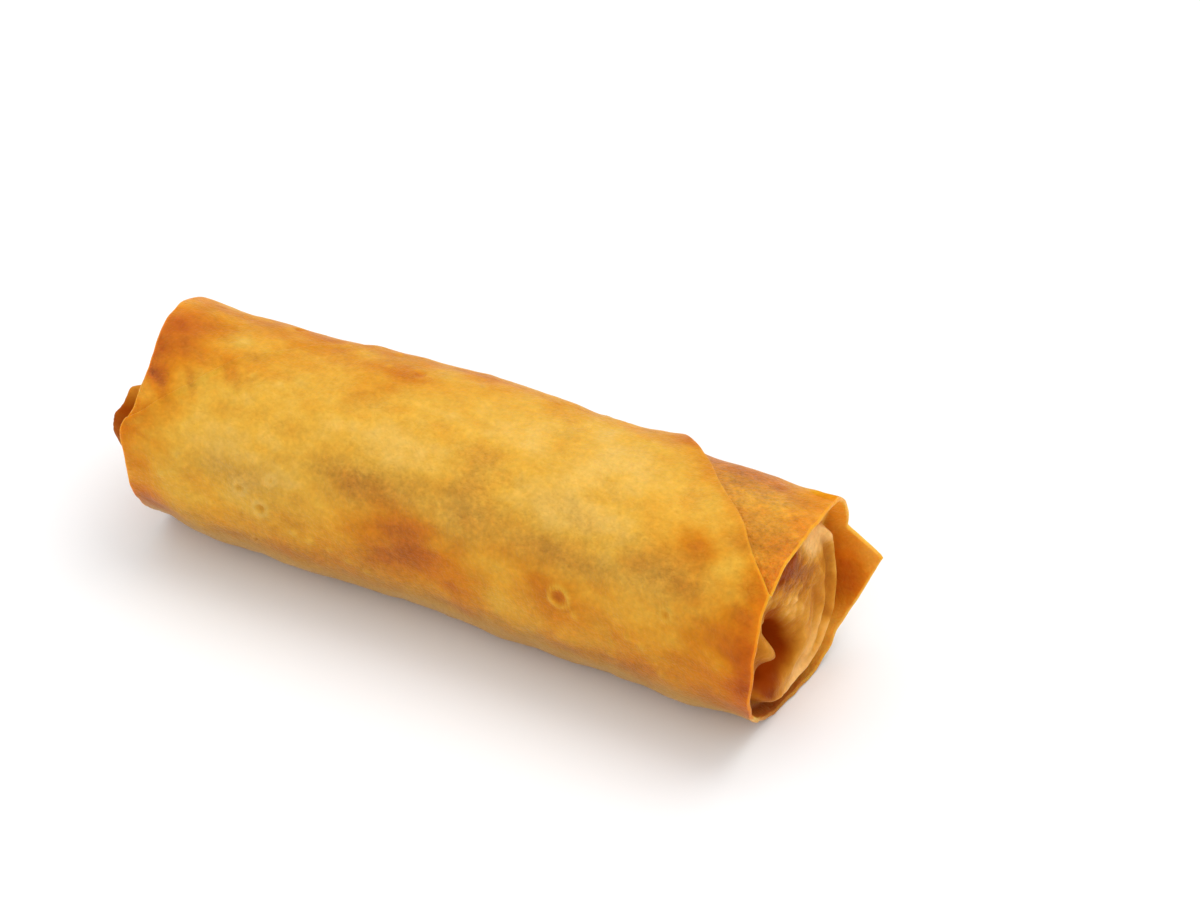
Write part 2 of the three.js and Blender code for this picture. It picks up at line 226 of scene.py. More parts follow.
def flapEdge(x):  # the angle of the free edge
    left = flap["leftAngle"] + flap["leftTurn"] * (x + roll["halfLength"])
    right = flap["rightAngle"] + flap["rightTurn"] * (roll["halfLength"] - x)
    k = flap["pointRound"]
    edge = -k * np.log(np.exp(-left / k) + np.exp(-right / k))
    height, perMm = flap["wave"]
    uneven = height * np.sin(x * perMm)
    for i, (size, height) in enumerate(flap["ragged"]):
        uneven = uneven + height * wander(x, size, seeds["cutEdge"] + i)
    return edge + uneven * rise(roll["halfLength"] - np.abs(x), 0, flap["unevenFades"])


def flapStep(x):
    return lerp(sheet["fused"], sheet["thickness"], rise(x, -roll["halfLength"], 0))


def flapCurl(x):
    return sum(lift * bell(x - at, spread) for at, spread, lift in flap["curl"])


def turnRadius(x, angle):
    a = np.radians(angle)
    n = roll["squareness"]
    across, upright = np.abs(np.cos(a)) ** n, np.abs(np.sin(a)) ** n
    t = (x + roll["halfLength"]) / (2 * roll["halfLength"])
    radius = lerp(roll["leftRadius"], roll["rightRadius"], t) / (across + upright) ** (1 / n)
    radius = radius + bellsOver(roll["swells"], x, angle)
    height, along, waves = roll["standingRipple"]
    startX, startRound = roll["ripplePhase"]
    radius = radius + height * np.sin(x * along + startX) * np.sin(a * waves + startRound)
    height, along, waves = roll["slantingRipple"]
    return radius + height * np.sin(x * along + a * waves)


def pressed(radius, angle):  # keeps the skin from going below the table
    facesDown = 0.2  # sine of the angle from which the table can reach it
    down = -np.sin(np.radians(angle))
    level = roll["axisHeight"] / np.maximum(down, facesDown)
    return np.where(down > facesDown, np.minimum(radius, level), radius)


def rimReach(end, angle):
    reach = bellsRound(end["rimWaves"], angle)
    onRim = onCylinder(end["side"] * 50, angle)  # the two rims lie far apart in the noise
    for i, (size, height) in enumerate(roll["rimUneven"]):
        reach = reach + height * hashNoise(onRim, size, seeds["rim"] + i)
    return reach


def earShape(end, angle):
    away = turnFrom(angle, end["ear"]["angle"])
    spread = np.where(away < 0, end["ear"]["before"], end["ear"]["after"])
    return np.clip(1 - np.abs(away) / spread, 0, 1) ** roll["earPoint"]


def patches(rows, y, z):  # sum of flat-topped bells: y, z, width, width across, turn, height
    total = 0 * y
    for atY, atZ, wide, wideAcross, turn, height in rows:
        c, s = math.cos(math.radians(turn)), math.sin(math.radians(turn))
        along = ((y - atY) * c + (z - atZ) * s) / wide
        over = (-(y - atY) * s + (z - atZ) * c) / wideAcross
        total = total + height * np.exp(-((along * along + over * over) ** roll["foldSquareness"]))
    return total


def foldReach(end, y, z):
    return roll["halfLength"] - end["faceRecess"] + patches(end["folds"], y, z)


def lapReach(end, y, z):
    total = 0 * y
    for atY, atZ, fromAngle, toAngle, fromRadius, toRadius, widthOut, widthIn, height in end["laps"]:
        t = (np.degrees(np.arctan2(z - atZ, atY - y)) - fromAngle) % 360 / (toAngle - fromAngle)
        away = np.hypot(y - atY, z - atZ) - lerp(fromRadius, toRadius, t)
        ridge = bell(away, np.where(away > 0, widthOut, widthIn))
        total = total + height * smooth(t / roll["lapFades"]) * smooth((1 - t) / roll["lapFades"]) * ridge
    return total


def place(side, reach, angle, radius):
    a = np.radians(angle)
    y = roll["bow"] * (0.5 - (reach / roll["halfLength"]) ** 2) - radius * np.cos(a)
    z = roll["axisHeight"] + radius * np.sin(a)
    return np.stack([side * reach, y, np.maximum(z, 0)], -1)


def columnTable():  # mm back from the cut edge, share of the step, share of a turn
    turnStart = grid["evenFrom"] / (2 * math.pi * roll["rightRadius"])
    rows = [(shift, raised, 0) for shift, raised in grid["cutEdge"]]
    for i in range(grid["columns"]):
        rows.append((0, 1, lerp(turnStart, 1, i / grid["columns"])))
    rows.append((grid["tuckUnder"], 1, 1))
    return np.array(rows).T


shift, raised, turned = columnTable()
columnCount = len(shift)
behindEdge = shift + turned * 2 * math.pi * roll["rightRadius"]  # mm


def columnAngle(x, evened):  # evened 0 follows the cut edge, 1 spreads the columns evenly
    edge = flapEdge(np.asarray(x, float))
    tucked = np.clip(1 - 2 * evened, 0, 1)  # gone by the lip's inner side, so no column doubles back there
    follows = edge - 360 * turned - np.degrees(shift / roll["rightRadius"]) * tucked
    even = edge - 360 * np.arange(columnCount) / columnCount
    return lerp(follows, even, evened)


def columnRadius(x, angle):
    lift = flapStep(x) + flapCurl(x) * bell(behindEdge, flap["curlBack"])
    return pressed(turnRadius(x, angle) + lift * np.where(turned < 1, (1 - turned) * raised, 0), angle)


def endRings(end):  # from the middle of the folded face out to the rim
    rings = []
    rimX = end["side"] * roll["halfLength"]
    lipRadius = sheet["thickness"] / 2
    ear = end["ear"]
    halfEvened = 0.5  # the columns even out half on the lip and half on the wall

    def grooveReach(angle):
        filled = bellsRound(end["grooveFilled"], angle)
        return roll["halfLength"] + rimReach(end, angle) - end["grooveDepth"] * (1 - filled)

    def edgeReach(angle):
        return roll["halfLength"] + rimReach(end, angle) + ear["reach"] * earShape(end, angle) - lipRadius

    def padRadius(angle):
        groove = end["grooveWidth"] + bellsRound(end["grooveWider"], angle)
        return pressed(turnRadius(rimX, angle), angle) - sheet["hem"] - groove

    for k in range(1, grid["face"] + 1):
        angle = columnAngle(rimX, 1)
        pad = padRadius(angle)
        radius = pad * math.sin(k / grid["face"] * math.pi / 2)
        rounding = 1 - np.clip((pad - radius) / end["edgeRound"], 0, 1)
        y, z = -radius * np.cos(np.radians(angle)), radius * np.sin(np.radians(angle))
        reach = lerp(grooveReach(angle), foldReach(end, y, z), np.sqrt(1 - rounding ** 2))
        reach = reach + lapReach(end, y, z) * smooth((pad - radius) / roll["lapEdge"])
        rings.append(place(end["side"], reach, angle, radius))
    for k in range(grid["wall"] + 1):
        t = k / grid["wall"]
        angle = columnAngle(rimX, lerp(1, halfEvened, t))
        thick = lerp(sheet["hem"], sheet["thickness"], t)
        radius = columnRadius(rimX, angle) - thick + ear["flare"] * earShape(end, angle) * t
        rings.append(place(end["side"], lerp(grooveReach(angle), edgeReach(angle), t), angle, radius))
    for k in range(1, grid["lip"] + 1):
        t = k / (grid["lip"] + 1)
        angle = columnAngle(rimX, halfEvened * (1 - t))
        outer = columnRadius(rimX, angle) + ear["flare"] * earShape(end, angle)
        radius = outer - lipRadius * (1 + math.cos(math.pi * t))
        rings.append(place(end["side"], edgeReach(angle) + lipRadius * math.sin(math.pi * t), angle, radius))
    return rings


def outsideRings():
    rings = []
    for x in np.linspace(-roll["halfLength"], roll["halfLength"], grid["outside"]):
        end = leftEnd if x < 0 else rightEnd
        inward = roll["halfLength"] - abs(x)
        angle = columnAngle(x, 0)
        ear = earShape(end, angle)
        out = rimReach(end, angle) + end["ear"]["reach"] * ear - sheet["thickness"] / 2
        radius = columnRadius(x, angle) + end["ear"]["flare"] * ear * rise(inward, roll["flareFades"], 0)
        rings.append(place(end["side"], abs(x) + out * rise(inward, roll["reachFades"], 0), angle, radius))
    return rings


rings = endRings(leftEnd) + outsideRings() + endRings(rightEnd)[::-1]
middles = []
for end in (leftEnd, rightEnd):
    pole = np.array(0.0)
    middles.append(place(end["side"], foldReach(end, pole, pole) + lapReach(end, pole, pole), 0, 0))
points = np.concatenate([np.concatenate(rings), middles])
print("skin points", len(points))

# What each point is on, with the middles of the two faces last
partsOfEnd = ["face"] * grid["face"] + ["wall"] * (grid["wall"] + 1) + ["lip"] * grid["lip"]
ringParts = partsOfEnd + ["skin"] * grid["outside"] + partsOfEnd[::-1]
part = np.concatenate([np.repeat(ringParts, columnCount), ["face", "face"]])
onFace, onWall, onLip, onSkin = (part == name for name in ("face", "wall", "lip", "skin"))
notOnTurn, farFromEdge = 0.5, 50  # for the middles
turnShare = np.concatenate([np.tile(turned, len(rings)), [notOnTurn, notOnTurn]])
edgeAway = np.concatenate([np.tile(behindEdge, len(rings)), [farFromEdge, farFromEdge]])

alongX = points[:, 0].copy()
acrossY = points[:, 1] - roll["bow"] * (0.5 - (alongX / roll["halfLength"]) ** 2)
upZ = points[:, 2] - roll["axisHeight"]
angleOf = np.degrees(np.arctan2(upZ, -acrossY))
radiusOf = np.hypot(acrossY, upZ)
fromMiddle = np.abs(alongX)
whichEnd = np.sign(alongX)

# Relief of the fried skin
relief = {
    "skin": [(9.0, 0.22), (4.0, 0.16), (1.9, 0.09)],  # mm across, mm high
    "streaks": (2.2, 0.1, 2.0),  # mm across, mm high, times longer than wide
    # Blisters that stand out: x, angle, radius, height of the ring or dome, depth of its middle
    "blisters": [
        (21, 11.5, 1.5, 0.34, 0.3), (-27.4, 4.6, 1.05, 0.26, 0.34), (-31, 12.5, 1.0, 0.12, 0.34),
        (23.5, 4.5, 0.9, 0.26, 0), (32, 3, 1.0, 0.2, 0), (34.5, 0.5, 0.9, 0.2, 0), (37.5, -14, 1.1, 0.24, 0),
        (-44, 7, 0.8, 0.2, 0), (-22, -4, 0.8, 0.24, 0), (-19.5, -6.5, 0.9, 0.22, 0),
        (-16.5, -9.5, 0.8, 0.24, 0), (-13.5, -13, 0.9, 0.22, 0), (-10.5, -16.5, 0.8, 0.22, 0),
        (-38.8, 89, 1.6, 0.2, 0), (5, -5, 1.2, 0.18, 0),
    ],
    "ringWidth": 0.45, "dent": 0.55, "dome": 0.7,  # mm, and shares of a blister's radius
    "moreBlisters": 60, "blisterSize": (0.6, 1.4), "blisterHeight": (0.06, 0.2),  # spread at random
    "blistersTo": 47,  # mm from the middle
    "burst": 0.25, "burstDepth": 0.2,  # share of them that has a sunken middle
    # Puckers: x, angle, spread in x, spread in angle, height, slant of the creases in degrees
    "puckers": [
        (-42, 62, 7, 16, 0.3, 35), (-48.5, 62, 3, 26, 0.34, 62), (-47, 30, 4, 20, 0.14, 70),
        (40, 92, 8, 18, 0.14, 60), (47, 20, 4, 40, 0.16, 80), (-47, -16, 4, 10, 0.2, 60),
    ],
    "puckerLines": (1.1, 5.5),  # mm across and along a crease
    "face": [(5.0, 0.3), (2.4, 0.18), (1.2, 0.09)],
    "faceCreases": (1.6, 0.08, 5.0),  # run out from the middle: mm across, mm high, times longer
    "creaseRadius": 11,  # mm from the middle, where they are that wide
    "creasesRise": (5, 10),  # mm from the middle
    "faceEnds": (14.5, 13),
    "faceBubbles": 170, "bubbleSize": (0.35, 0.75), "bubbleHeight": (0.08, 0.22),
    "bubbledPlaces": [(0.0, 8.6, 6.5, 2.6), (-6.0, 6.0, 2.4, 2.0), (2.0, 2.0, 3.0, 3.0)],  # y, z, spreads
}

draw = np.random.default_rng(seeds["blisters"])
blisters = list(relief["blisters"])
for i in range(relief["moreBlisters"]):
    size = draw.uniform(*relief["blisterSize"])
    depth = relief["burstDepth"] if draw.random() < relief["burst"] else 0
    blisters.append((draw.uniform(-relief["blistersTo"], relief["blistersTo"]), draw.uniform(0, 360), size,
                     draw.uniform(*relief["blisterHeight"]), depth))

faceBubbles = []  # y, z, radius, height
bubbledPlaces = relief["bubbledPlaces"]
for i in range(relief["faceBubbles"]):
    atY, atZ, wideY, wideZ = bubbledPlaces[i * len(bubbledPlaces) // relief["faceBubbles"]]
    faceBubbles.append((draw.normal(atY, wideY), draw.normal(atZ, wideZ),
                        draw.uniform(*relief["bubbleSize"]), draw.uniform(*relief["bubbleHeight"])))


def blisterRelief(x, angle):
    height = 0 * x
    for atX, at, size, ring, depth in blisters:
        away = np.hypot(x - atX, np.radians(turnFrom(angle, at)) * roll["rightRadius"])
        if depth:
            height = height + ring * bell(away - size, relief["ringWidth"])
            height = height - depth * bell(away, size * relief["dent"])
        else:
            height = height + ring * bell(away, size * relief["dome"])
    return height


def skinRelief(x, angle):
    spots = onCylinder(x, angle)
    broad = sum(height * hashNoise(spots, size, seeds["skin"] + i)
                for i, (size, height) in enumerate(relief["skin"]))
    size, height, longer = relief["streaks"]
    fine = height * hashNoise(spots * (1 / longer, 1, 1), size, seeds["streaks"])
    lineAcross, lineAlong = relief["puckerLines"]
    for atX, at, wideX, wideAngle, height, slant in relief["puckers"]:
        c, s = math.cos(math.radians(slant)), math.sin(math.radians(slant))
        arc = np.radians(turnFrom(angle, at)) * roll["rightRadius"]
        across, along = (x - atX) * c + arc * s, -(x - atX) * s + arc * c
        lines = np.stack([across / lineAcross, along / lineAlong, 0 * along], -1)
        pucker = bellsOver([(atX, at, wideX, wideAngle, height)], x, angle)
        fine = fine + pucker * hashNoise(lines, 1, seeds["puckers"])
    return broad, fine


skinX = np.where(onSkin, np.clip(alongX, -roll["halfLength"], roll["halfLength"]),
                 whichEnd * roll["halfLength"])
blistered = np.where(onFace, 0, blisterRelief(skinX, angleOf))
broadRelief, fineRelief = skinRelief(skinX, angleOf)
lift = np.where(onFace, 0, blistered + broadRelief + fineRelief)
points[:, 1] -= lift * np.cos(np.radians(angleOf))
points[:, 2] += lift * np.sin(np.radians(angleOf))

faceSpots = np.stack([acrossY, upZ, whichEnd * 40], -1)  # the two faces lie far apart in the noise
faceLift = sum(height * hashNoise(faceSpots, size, seeds["face"] + i)
               for i, (size, height) in enumerate(relief["face"]))
size, height, longer = relief["faceCreases"]
rays = np.stack([np.radians(angleOf) * relief["creaseRadius"] / size, radiusOf / size / longer, whichEnd], -1)
fineFace = height * hashNoise(rays, 1, seeds["faceCreases"]) * rise(radiusOf, *relief["creasesRise"])
for atY, atZ, size, height in faceBubbles:
    fineFace = fineFace + height * bell(np.hypot(acrossY - atY, upZ - atZ), size)
faceLift = (faceLift + fineFace) * rise(radiusOf, *relief["faceEnds"])
points[:, 0] += np.where(onFace, whichEnd * faceLift, 0)
points[:, 2] = np.maximum(points[:, 2], 0)
print("relief on the skin:", round(float(lift.min()), 2), "to", round(float(lift.max()), 2), "mm")

# What frying did to the crust, and the light and shade painted on it, by place. Rows on the skin: x, angle,
# spread in x, spread in angle, share.
# Rows on a folded face: y, z, width, width across, turn, share. Rows round a rim: angle, spread, share.
crust = {
    # Browning, 0 pale yellow to 1 deep orange
    "browning": {
        "wholeLength": [(0, 122, 200, 14, 0.22), (0, -40, 200, 12, -0.6)],
        "middlePatch": [
            (-4.8, 7, 6.2, 15, 0.58), (-9, -6, 5, 11, 0.06), (2, 7, 3.4, 11, 0.1), (-3, 23, 5, 6, 0.16),
            (-9, 32, 6, 9, 0.24), (-3, 19, 5, 7, 0.12), (5, -6, 2.5, 9, 0.14),
        ],
        "leftRim": [
            (-49.6, 76, 4.2, 24, 0.5), (-45.4, 92, 4.2, 13, 0.3), (-46.8, -17, 4, 11, 0.45),
            (-50.5, 28, 3, 10, 0.16), (-47, 45, 4, 20, 0.24), (-47, 4, 4, 18, 0.16), (-47, 118, 8, 10, 0.15),
            (-48, -34, 5, 10, 0.35),
        ],
        "rightRim": [
            (44, 2, 6.5, 34, 0.26), (50.8, 10, 3.2, 40, 0.56), (50.5, 116, 2.4, 26, 0.2),
            (47.5, 46, 4, 12, 0.1), (38.5, 60, 4, 10, 0.28), (47, 26, 4, 10, 0.3), (47, 80, 5, 16, -0.08),
            (48, -26, 5, 14, 0.25), (47, 32, 4, 7, 0.1), (38, 31, 4, 7, 0.08),
        ],
        "top": [
            (-27, 102, 20, 13, 0.22), (-11, 97, 4, 6, 0.14), (-13, 100, 6, 14, 0.16), (-39, 73, 6, 9, 0.3),
            (-33, 86, 7, 8, 0.12), (-35, 80, 8, 14, 0.08), (-30, 118, 5, 8, 0.12), (-37, 88, 4, 5, -0.14),
            (6, 84, 9, 12, -0.14), (24, 88, 9, 16, -0.2), (21, 80, 5, 16, -0.08),
        ],
        "upperFront": [
            (-36, 50, 9, 14, 0.08), (-10, 60, 9, 10, -0.16), (8, 58, 9, 8, -0.06), (22, 53, 9, 10, -0.12),
            (17, 52, 9, 9, -0.2), (22, 44, 14, 8, -0.08), (35, 43, 6, 9, 0.2),
        ],
        "front": [
            (-38, -3, 8, 14, -0.08), (-33, -3, 8, 10, 0.08), (18, 14, 22, 16, 0.12), (21, 4, 15, 13, 0.14),
            (13, -2, 6, 8, -0.1), (14, 24, 9, 7, 0.1), (30, 14, 5, 8, -0.14), (30, 18, 5, 7, 0.1),
        ],
        "lowFront": [
            (-26, -19, 8, 8, 0.25), (-4, -19, 4, 8, 0.12), (5, -22, 3, 7, 0.2), (27, -19, 9, 8, 0.14),
            (37, -12, 8, 14, 0.14),
        ],
        "back": [
            (14, 220, 12, 22, 0.24), (-30, 250, 14, 26, 0.2), (-20, 175, 9, 18, -0.1), (30, 190, 12, 20, 0.1),
        ],
    },
    "skinBrowning": 0.24,  # everywhere on the outside
    # browner and darker low on the front: partly deeper frying, partly painted shade
    "lowFrontToastAndShade": 0.12,
    "flapBrowning": 0.2,  # at its cut edge
    "flapSpread": (0.4, 3.0),  # mm behind the edge, spread
    "innerTurnBrowning": 0.2,  # on the turn of the sheet that shows beside the flap, at the right end
    "skinMottle": (11, 0.07),  # mm across, share
    # Painted light and shade of the relief: paler where blisters and ripples stand up, darker in dents
    "blisterPaler": 1.0, "blisterDarkest": 0.12,  # for each mm of height, and the most for a dent
    "reliefPaler": 0.8,  # for each mm of height
    # Browning of each folded face, together with painted shade on its flank and pocket, on the lower side of
    # the small lobe and in the groove under the right rim's top edge
    "rightFaceToastAndShade": [
        (-1.2, 8.6, 7.5, 2.8, -30, 0.4), (6.4, 9.4, 6.5, 3.2, -40, -0.75), (-3.0, 11.4, 4.5, 1.8, 16, 0.6),
        (-4.8, 2.4, 6.0, 2.2, -50, 0.3), (-4.6, -3.4, 4.6, 2.6, -48, 0.4), (-7.2, -8.0, 3.6, 3.0, -30, 0.4),
        (-7.6, -3.0, 5.0, 4.2, -50, 0.5), (-3.2, -6.8, 3.4, 2.6, -40, 0.25), (-1.6, 2.2, 3.2, 2.4, -45, -0.3),
        (5.5, -8.5, 5.5, 3.0, 35, -0.24), (12.0, -5.5, 1.6, 3.0, 0, 0.2), (2.4, -10.0, 4, 2.2, 30, -0.25),
        (-1.6, -12.8, 5, 1.3, 10, -0.35), (9.6, -6.4, 6, 0.9, -62, 0.2),
    ],
    "leftFaceToastAndShade": [
        (3.0, -1.0, 4.8, 2.4, 20, 0.5), (-2, 9, 6, 2, 10, 0.3), (8, -6, 4, 3, 40, 0.2),
        (-11, 5, 3, 8, 0, 0.6),
    ],
    "faceBrowning": 0.5,  # everywhere on the faces
    "faceMottle": (4, 0.12),
    # Painted light: paler where a fold stands out and where a bubble rises
    "foldPaler": 0.35, "foldPalest": 0.7,  # for each mm that a fold stands out, and the most mm
    "bubblePaler": 0.7,  # for each mm of height
    # Browning inside the rims, with painted shade at the base of the right ear and a painted glow through the
    # thin top of the right rim's wall
    "rightWallToastShadeAndGlow": [(197, 15, 0.35), (232, 22, -0.28), (146, 26, -0.2)],
    "leftWallToastShadeAndGlow": [(30, 30, 0.25)],
    "wallBrowning": 0.58,
    # Painted glow: paler towards the ear's thin tip
    "earPaler": [(190, 40, 0.5)],  # towards the ear's tip
    # Painted shade in deep orange on the folded faces: the flanks, pockets and pits, the hollow below the
    # lobe, and the groove under the right rim's top edge
    "rightShadedFolds": [
        (-5.4, 3.0, 6.0, 2.3, -50, 0.9), (-3.9, -2.4, 5.0, 2.2, -52, 1.2), (-8.4, -5.8, 4.4, 2.8, -10, 0.9),
        (0.5, 8.6, 7.5, 2.3, -38, 0.14), (-6.8, -2.8, 5.2, 3.8, -55, 0.7), (-3.2, 11.8, 4.2, 1.8, 16, 0.55),
        (-3.2, -6.8, 3.4, 2.6, -40, 0.45), (-1.4, 2.6, 2.6, 2.2, -50, -0.4),
    ],
    "leftShadedFolds": [
        (3.0, -1.0, 4.8, 2.4, 20, 0.7), (-11.5, 6.0, 2.4, 5.0, 20, 0.6), (-11.4, 8.6, 2.0, 1.8, 0, 0.9),
    ],
    # Skin that lay inside, away from the oil, is paler and pinker
    "paleLostInShadedFolds": 0.7, "innerTurnPale": 0.2,
    # Filling that darkens the skin from below where it shows through. Painted shade on the underside, in fine
    # creases and low inside the rims is added to it further on, in the same colour
    "filling": {
        "middle": [
            (-9, 33, 7.5, 10, 0.95), (4.8, 38, 4.5, 11, 0.75), (4.5, 58, 3.2, 12, 0.34), (-2, 19, 5, 7, 0.3),
            (4, 18, 4, 6, 0.15), (-4, 7, 5.5, 12, 0.36), (-8, -6, 6, 10, 0.36),
        ],
        "left": [
            (-50.5, 64, 2.2, 14, 0.4), (-32, 19, 6.5, 9, 0.5), (-24, 6, 8, 8, 0.15), (-28, -6, 10, 7, 0.14),
            (-26, -19, 8, 8, 0.3),
        ],
        "right": [
            (15, 31, 9, 8, 0.45), (25, 32, 8, 8, 0.4), (36, 38, 6.5, 11, 0.7), (22, 52, 6, 6, 0.2),
            (20, 4, 14, 12, 0.14), (30, -6, 9, 7, 0.15), (27, -19, 9, 8, 0.15), (10, -34, 34, 8, 0.6),
        ],
        "back": [
            (20, 150, 9, 12, 0.4), (-16, 200, 8, 14, 0.45), (38, 215, 7, 12, 0.4), (-40, 225, 7, 12, 0.35),
            (2, 265, 12, 16, 0.4),
        ],
    },
    "fillingPatchy": (8, 0.8), "fillingLeast": 0.7, "fillingMore": 0.5,  # mm across, contrast; shares
    # Painted shade in the fine creases of the skin
    "shadeInCreases": (2.2, 0.5),  # for each mm of depth, and at most
    "speckled": [(-1.8, 8.4, 7.5, 3.0, -27, 0.45)],  # on the bubbly top of the faces
    "speckle": 1.6, "speckleCover": 0.6,  # mm across
    "bubbleClean": 2.0,  # the bubbles stand out of the speckle
    # Painted shade low inside the rims, in the filling's colour
    "rimBottomDark": [(284, 40, 1.0)],  # inside the rim
    # Painted shade in a dark red-brown: in the creases and hollows of the folded faces, and deep inside the
    # rims except where they open upwards
    "creaseByDepth": 0.5, "creaseByHollow": 0.7, "creaseByShadedFolds": 0.75,
    "hollowReach": [(0.8, 0.9), (2.0, 0.5)],  # mm round the point, share for each mm that it lies lower
    "creaseInRim": 0.6, "rimOpens": [(146, 30, 1.0)], "creaseLowInRim": [(286, 34, 0.35)],
    # Painted glow of light shining through the sheet where it is thin: on its lip, the top of the rims'
    # walls, the ear and the cut edge, kept off the underside
    "thinLip": 0.6, "thinWall": [(142, 28, 0.8)], "thinEar": 0.5,
    "thinCutEdge": 0.7, "cutEdgeWidth": 0.4,  # mm
    # Where it is crisp, with more bubbles and unevenness
    "crispFace": 0.35, "crispTop": [(0.0, 7.6, 8.0, 4.4, -38, 0.75)], "crispRim": 0.3,
    "crispSkin": 0.4, "crispFilling": 0.7, "crispInnerTurn": 0.6, "crispLostInShadedFolds": 0.3,
    # How much light it lets through
    "lightFace": 0.2, "lightSkin": 0.2, "lightNearRim": 0.7,
    # Oil left on it
    "shineFace": 0.04, "shineOnFolds": [(1.0, 9.0, 7.0, 4.0, -38, 0.06), (-1.5, -12.6, 5.0, 1.6, 10, 0.3)],
    "shineRim": 0.15, "shineSkin": 0.28, "shineInnerTurn": 0.3,
    "shineRound": [(122, 22, -0.18), (-40, 22, 0.3)],
    "dryRim": (49.5, 4.5, 0.14),  # x, spread, share lost
}

# Zones of the skin: where each one begins and where it is in full
zones = {
    "frontTop": (37, -13), "frontLow": (-150, -110),  # angles
    "underside": (-0.1, -0.5),  # sine of the angle
    "innerTurn": (0.8, 0.95), "innerTurnX": (22, 32),  # share of a turn back from the flap's edge, and x
    "flapEdgeX": (-40, 20), "cutEdgeX": (-45, -5),
    "nearRim": (45.5, 50.5), "earPale": (52, 56), "earThin": (53, 56),  # mm from the middle of the roll
    "faceShadedFolds": (49.4, 45.8), "rimShadedFolds": (50, 46),
}


def byPart(face, wall, lip, skin):
    return np.select([onFace, onWall, onLip], [face, wall, lip], skin)


# Used to paint shade in the hollows and light on the raised folds
def sunken(end, y, z, distance):  # mm below the mean of a circle round the point
    def height(y, z):
        return foldReach(end, y, z) + lapReach(end, y, z)

    circle = np.radians(np.arange(0, 360, 45))
    heights = [height(y + distance * math.cos(a), z + distance * math.sin(a)) for a in circle]
    return sum(heights) / len(heights) - height(y, z)


spots = onCylinder(alongX, angleOf)
lowFront = rise(angleOf, *zones["frontTop"]) * rise(angleOf, *zones["frontLow"])
underside = rise(np.sin(np.radians(angleOf)), *zones["underside"])
behind, wide = crust["flapSpread"]
byCutEdge = np.where(onSkin, bell(edgeAway - behind, wide), 0) * rise(alongX, *zones["flapEdgeX"])
innerTurn = np.where(onSkin, rise(turnShare, *zones["innerTurn"]) * rise(alongX, *zones["innerTurnX"]), 0)

wallPlaces, facePlaces, shadedFold, hollow = (0 * alongX for i in range(4))
for end, name in ((rightEnd, "right"), (leftEnd, "left")):
    mine = whichEnd == end["side"]
    wallPlaces = wallPlaces + mine * bellsRound(crust[name + "WallToastShadeAndGlow"], angleOf)
    mine = mine & onFace
    y, z = acrossY[mine], upZ[mine]
    facePlaces[mine] = patches(crust[name + "FaceToastAndShade"], y, z)
    shadedFold[mine] = patches(crust[name + "ShadedFolds"], y, z)
    hollow[mine] = sum(share * sunken(end, y, z, reach) for reach, share in crust["hollowReach"])

allBrowning = sum(crust["browning"].values(), [])  # the rows of all areas
size, share = crust["skinMottle"]
# Toast of the skin, with painted light and shade of the blisters and fine relief
skinToast = (crust["skinBrowning"] + bellsOver(allBrowning, alongX, angleOf)
             + crust["lowFrontToastAndShade"] * lowFront + crust["flapBrowning"] * byCutEdge
             + crust["innerTurnBrowning"] * innerTurn + share * hashNoise(spots, size, seeds["skinToast"])
             - crust["blisterPaler"] * np.maximum(blistered, -crust["blisterDarkest"])
             - crust["reliefPaler"] * fineRelief)
size, share = crust["faceMottle"]
# Toast of the faces, with painted light on raised folds and bubbles
faceToast = (crust["faceBrowning"] + facePlaces + share * hashNoise(faceSpots, size, seeds["faceToast"])
             - crust["foldPaler"] * np.clip(-hollow, 0, crust["foldPalest"])
             - crust["bubblePaler"] * fineFace)
# Painted glow towards the ear's tip
paleEar = rise(fromMiddle, *zones["earPale"]) * bellsRound(crust["earPaler"], angleOf)
wallToast = crust["wallBrowning"] + wallPlaces - paleEar
toast = byPart(faceToast, wallToast, skinToast, skinToast)

paleFace = 1 - crust["paleLostInShadedFolds"] * np.clip(shadedFold, 0, 1)
innerSkin = byPart(paleFace, 0, 0, crust["innerTurnPale"] * innerTurn)

size, contrast = crust["fillingPatchy"]
patchy = smooth(0.5 + contrast * hashNoise(spots, size, seeds["filling"]))
allFilling = sum(crust["filling"].values(), [])
skinFillingAndShade = bellsOver(allFilling, alongX, angleOf) * (crust["fillingLeast"] + crust["fillingMore"] * patchy)
perMm, most = crust["shadeInCreases"]
# Painted shade on the underside and in the fine creases of the skin
skinFillingAndShade = skinFillingAndShade + underside + np.clip(-perMm * fineRelief, 0, most)
speckle = smooth(crust["speckleCover"] + hashNoise(faceSpots, crust["speckle"], seeds["speckle"]))
speckle = speckle * patches(crust["speckled"], acrossY, upZ)
faceFilling = np.clip(speckle - crust["bubbleClean"] * fineFace, 0, 1)
rimShade = bellsRound(crust["rimBottomDark"], angleOf)
filling = byPart(faceFilling, rimShade, rimShade, skinFillingAndShade)

# Painted shade: by depth into the end, in hollows, on the shaded folds, and deep in the rims
faceCrease = (crust["creaseByDepth"] * rise(fromMiddle, *zones["faceShadedFolds"])
              + crust["creaseByHollow"] * np.clip(hollow, 0, 1) + crust["creaseByShadedFolds"] * shadedFold)
closed = 1 - bellsRound(crust["rimOpens"], angleOf)
wallCrease = crust["creaseInRim"] * rise(fromMiddle, *zones["rimShadedFolds"]) * closed
wallCrease = wallCrease + bellsRound(crust["creaseLowInRim"], angleOf)
crease = byPart(faceCrease, wallCrease, 0, 0)

